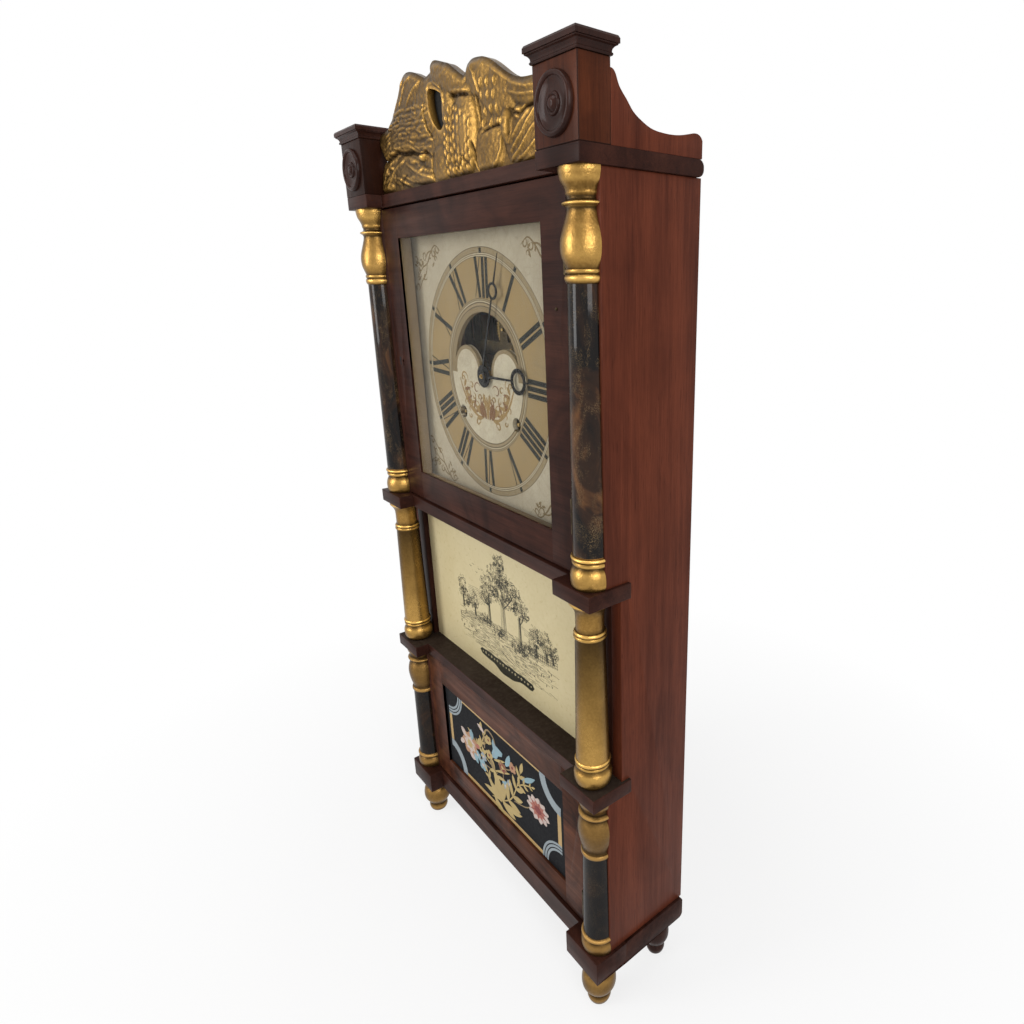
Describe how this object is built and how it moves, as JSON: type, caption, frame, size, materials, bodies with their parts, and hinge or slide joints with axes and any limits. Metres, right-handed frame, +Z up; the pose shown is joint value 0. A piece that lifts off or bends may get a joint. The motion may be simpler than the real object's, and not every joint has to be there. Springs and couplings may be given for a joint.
{
  "type": "triple decker shelf clock",
  "caption": "Weight-driven shelf clock in three tiers: a glazed dial door above, a painted tablet between turned columns, and a tablet door below, under a carved crest.",
  "frame": {"origin": "bottom centre of the clock's bounding box, on the plane its feet stand on", "axes": "+Z up, the dial and doors face -Y, +X to the right as seen from the front"},
  "size_m": [0.455, 0.136, 0.9811],
  "materials": {
    "mahogany_veneer": "shellac, satin gloss",
    "pine": "bare, aged",
    "gilt": "bronze-gilt paint on turned and carved wood",
    "gilt_and_stencil": "black stencilled shafts with gilt ends",
    "dial_paint": "painted and gilt, aged",
    "middle_tablet_paint": "reverse-painted, opaque",
    "lower_tablet_paint": "reverse-painted, opaque",
    "clear_glass": "clear, old",
    "brass": "aged",
    "steel": "dark, worn",
    "black_hands": "blackened",
    "cast_iron": "rough casting",
    "cord": "twisted",
    "bell_metal": "cast, dull"
  },
  "bodies": {
    "case": {"case_sides": "mahogany_veneer", "backboard": "pine", "case_bottom": "pine", "base_frame": "mahogany_veneer", "ledge_lower": "mahogany_veneer", "ledge_upper": "mahogany_veneer", "cornice": "mahogany_veneer", "front_stiles": "mahogany_veneer", "middle_tablet": "middle_tablet_paint", "upper_columns": "gilt_and_stencil", "middle_columns": "gilt", "lower_columns": "gilt_and_stencil", "front_feet": "gilt", "rear_feet": "mahogany_veneer", "pedestals": "mahogany_veneer", "pedestal_caps": "mahogany_veneer", "rosettes": "mahogany_veneer", "eagle_splat": "gilt", "side_wings": "mahogany_veneer", "case_hinge_leaves": "brass", "dial_board": "dial_paint", "dial_side_boards": "dial_paint", "front_plate": "brass", "back_plate": "brass", "seat_board": "pine", "weight_partitions": "pine", "bell": "bell_metal", "pulley_brackets": "steel", "weight_cords": "cord", "time_cord_drop": "cord", "strike_cord_drop": "cord"},
    "upper_door": {"upper_door_frame": "mahogany_veneer", "upper_door_glass": "clear_glass", "upper_door_hinge_leaves": "brass"},
    "upper_door_bolt": {"lock_bolt": "steel"},
    "lower_door": {"lower_door_frame": "mahogany_veneer", "lower_door_tablet": "lower_tablet_paint", "lower_door_hinge_leaves": "brass"},
    "minute_arbor": {"centre_wheel": "brass", "minute_hand": "black_hands"},
    "hour_pipe": {"hour_wheel": "brass", "hour_hand": "black_hands"},
    "motion_wheel": {"minute_wheel": "brass"},
    "time_great": {"time_great_wheel": "brass"},
    "time_second": {"time_second_wheel": "brass"},
    "time_third": {"third_wheel": "brass"},
    "escape": {"escape_wheel": "brass"},
    "anchor": {"verge": "steel"},
    "pendulum": {"pendulum_rod": "steel", "pendulum_bob": "brass"},
    "time_winding_drum": {"time_drum": "brass"},
    "strike_winding_drum": {"strike_drum": "brass"},
    "strike_great": {"strike_great_wheel": "brass"},
    "strike_pins": {"strike_pin_wheel": "brass"},
    "strike_hammer": {"hammer": "steel"},
    "weight_for_time": {"time_weight": "cast_iron"},
    "weight_for_strike": {"strike_weight": "cast_iron"},
    "pulley_for_time": {"time_pulley": "brass"},
    "pulley_for_strike": {"strike_pulley": "brass"}
  },
  "joints": [
    {"name": "upper_door_hinge", "type": "hinge", "parent": "case", "child": "upper_door", "pos_m": [0.1774, -0.0442, 0.691], "axis": [0, 0, 1], "range_deg": [0, 110]},
    {"name": "lower_door_hinge", "type": "hinge", "parent": "case", "child": "lower_door", "pos_m": [0.1774, -0.0442, 0.18725], "axis": [0, 0, 1], "range_deg": [0, 110]},
    {"name": "bolt_slide", "type": "slide", "parent": "upper_door", "child": "upper_door_bolt", "axis": [-1, 0, 0], "range_m": [0, 0.006]},
    {"name": "minute_turn", "type": "hinge", "parent": "case", "child": "minute_arbor", "pos_m": [0, 0, 0.686], "axis": [0, 1, 0], "continuous": true},
    {"name": "hour_turn", "type": "hinge", "parent": "case", "child": "hour_pipe", "pos_m": [0, -0.015, 0.686], "axis": [0, 1, 0], "continuous": true},
    {"name": "motion_wheel_turn", "type": "hinge", "parent": "case", "child": "motion_wheel", "pos_m": [0.0104, -0.003, 0.66799], "axis": [0, 1, 0], "continuous": true},
    {"name": "time_great_turn", "type": "hinge", "parent": "case", "child": "time_great", "pos_m": [0.055, 0.034, 0.641], "axis": [0, 1, 0], "continuous": true},
    {"name": "time_second_turn", "type": "hinge", "parent": "case", "child": "time_second", "pos_m": [0.02686, 0.03, 0.67013], "axis": [0, 1, 0], "continuous": true},
    {"name": "third_turn", "type": "hinge", "parent": "case", "child": "time_third", "pos_m": [0.0153, 0.02, 0.7125], "axis": [0, 1, 0], "continuous": true},
    {"name": "escape_turn", "type": "hinge", "parent": "case", "child": "escape", "pos_m": [0, 0.01, 0.7329], "axis": [0, 1, 0], "continuous": true},
    {"name": "pendulum_swing", "type": "hinge", "parent": "case", "child": "pendulum", "pos_m": [0, 0.0523, 0.7669], "axis": [0, 1, 0], "range_deg": [-2, 2]},
    {"name": "anchor_rock", "type": "hinge", "parent": "case", "child": "anchor", "pos_m": [0, 0.03, 0.7669], "axis": [0, 1, 0], "range_deg": [-2.1, 2.1]},
    {"name": "time_weight_lift", "type": "slide", "parent": "case", "child": "weight_for_time", "axis": [0, 0, 1], "range_m": [0, 0.43], "deforming": ["time_cord_drop"]},
    {"name": "strike_weight_lift", "type": "slide", "parent": "case", "child": "weight_for_strike", "axis": [0, 0, 1], "range_m": [0, 0.43], "deforming": ["strike_cord_drop"]},
    {"name": "time_drum_turn", "type": "hinge", "parent": "case", "child": "time_winding_drum", "pos_m": [0.055, 0.018, 0.641], "axis": [0, 1, 0], "range_deg": [-1440, 0]},
    {"name": "strike_drum_turn", "type": "hinge", "parent": "case", "child": "strike_winding_drum", "pos_m": [-0.055, 0.018, 0.641], "axis": [0, 1, 0], "range_deg": [0, 1440]},
    {"name": "time_pulley_turn", "type": "hinge", "parent": "case", "child": "pulley_for_time", "pos_m": [0.15385, 0.018, 0.8325], "axis": [0, 1, 0], "range_deg": [-1620, 0]},
    {"name": "strike_pulley_turn", "type": "hinge", "parent": "case", "child": "pulley_for_strike", "pos_m": [-0.15385, 0.018, 0.8325], "axis": [0, 1, 0], "range_deg": [0, 1620]},
    {"name": "strike_pin_turn", "type": "hinge", "parent": "case", "child": "strike_pins", "pos_m": [-0.04452, 0.038, 0.68012], "axis": [0, 1, 0], "continuous": true},
    {"name": "strike_great_turn", "type": "hinge", "parent": "case", "child": "strike_great", "pos_m": [-0.055, 0.034, 0.641], "axis": [0, 1, 0], "continuous": true},
    {"name": "hammer_lift", "type": "hinge", "parent": "case", "child": "strike_hammer", "pos_m": [-0.055, 0.03, 0.748], "axis": [0, 1, 0], "range_deg": [-12, 0], "stiffness_Nm_per_rad": 0.02, "springref_deg": 8.59}
  ],
  "couplings": [
    {"joint": "hour_turn", "follows": "minute_turn", "ratio": 0.083333},
    {"joint": "motion_wheel_turn", "follows": "minute_turn", "ratio": -0.33333},
    {"joint": "time_great_turn", "follows": "minute_turn", "ratio": 0.022727},
    {"joint": "time_second_turn", "follows": "minute_turn", "ratio": -0.18182},
    {"joint": "third_turn", "follows": "minute_turn", "ratio": -7.5},
    {"joint": "escape_turn", "follows": "minute_turn", "ratio": 56.25},
    {"joint": "anchor_rock", "follows": "pendulum_swing", "ratio": 1},
    {"joint": "time_drum_turn", "follows": "time_weight_lift", "rad_per_m": -57.471},
    {"joint": "time_pulley_turn", "follows": "time_weight_lift", "rad_per_m": -64.935},
    {"joint": "strike_drum_turn", "follows": "strike_weight_lift", "rad_per_m": 57.471},
    {"joint": "strike_pulley_turn", "follows": "strike_weight_lift", "rad_per_m": 64.935},
    {"joint": "strike_great_turn", "follows": "strike_pin_turn", "ratio": -0.125}
  ]
}
